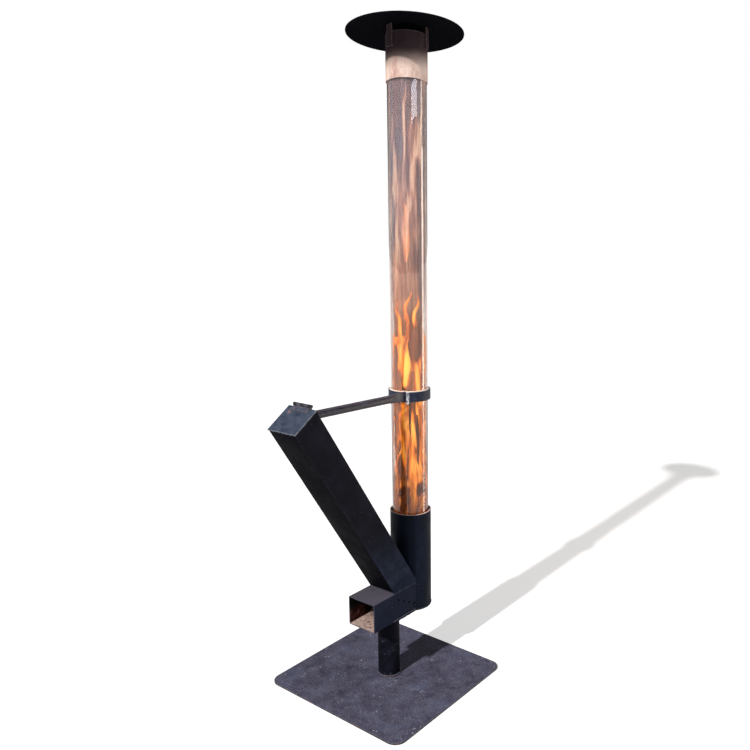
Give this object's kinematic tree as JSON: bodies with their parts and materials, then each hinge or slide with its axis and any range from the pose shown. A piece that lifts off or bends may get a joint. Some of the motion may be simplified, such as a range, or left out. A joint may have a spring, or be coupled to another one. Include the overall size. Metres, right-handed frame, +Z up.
{
  "type": "patio heater",
  "caption": "Free-standing wood pellet patio heater: leaning gravity hopper with hinged lid, burn box on a post and base plate, tall glass flame tube and domed cap.",
  "frame": {"origin": "centre of the square base plate's underside, on the floor", "axes": "+Z up along the flame tube; -Y towards the open mouth of the burn box, the way the hopper leans; +X to the right of someone who stands in front of the mouth and looks at it"},
  "size_m": [0.582, 0.7595, 2.1687],
  "materials": {
    "base_paint": "worn slate-blue paint with pale speckles and scratches",
    "black_paint": "satin blue-black high-temperature paint",
    "lid_paint": "scratched slate-blue paint over steel",
    "cap_paint": "matt black high-temperature paint",
    "heat_rusted_steel": "bare steel, heat-tinted and rusted to a pinkish tan",
    "burnt_steel": "bare steel, burnt and rusted",
    "bright_zinc": "bright zinc plate",
    "dark_steel": "dark oiled steel",
    "ceramic_fibre": "cream woven ceramic fibre",
    "flame_glass": "clear borosilicate glass with a smoky amber heat haze"
  },
  "bodies": {
    "heater_body": {"base_plate": "base_paint", "base_post": "black_paint", "burn_box": "black_paint", "combustion_chamber": "black_paint", "chamber_floor": "black_paint", "hopper_tube": "black_paint", "glass_seat_ring": "burnt_steel", "glass_seat_gasket": "ceramic_fibre", "glass_rope_seal": "ceramic_fibre", "glass_tube": "flame_glass", "clamp_ring": "black_paint", "clamp_packing": "ceramic_fibre", "clamp_pin": "bright_zinc", "clamp_pin_clip": "bright_zinc", "support_arm": "black_paint", "hinge_fixed_leaf": "dark_steel", "hinge_pin": "dark_steel", "hopper_rivet_1": "dark_steel", "hopper_rivet_2": "dark_steel"},
    "lid": {"hopper_lid": "lid_paint", "hinge_moving_leaf": "lid_paint", "lid_rivet_1": "lid_paint", "lid_rivet_2": "lid_paint"},
    "burn_basket": {"burn_grate": "burnt_steel", "grate_side_left": "burnt_steel", "grate_side_right": "burnt_steel", "grate_pull_loop": "burnt_steel"},
    "cap": {"cap_collar": "heat_rusted_steel", "cap_stop_ring": "burnt_steel", "cap_strut_1": "heat_rusted_steel", "cap_strut_2": "heat_rusted_steel", "cap_strut_3": "heat_rusted_steel", "cap_disc": "cap_paint"}
  },
  "joints": [
    {"name": "lid_hinge", "type": "hinge", "parent": "heater_body", "child": "lid", "pos_m": [0, -0.35624, 1.04003], "axis": [-1, 0, 0], "range_deg": [0, 228]},
    {"name": "basket_slide", "type": "slide", "parent": "heater_body", "child": "burn_basket", "axis": [0, -1, 0], "range_m": [0, 0.31]},
    {"name": "cap_lift", "type": "slide", "parent": "heater_body", "child": "cap", "axis": [0, 0, 1], "range_m": [0, 0.072]}
  ]
}
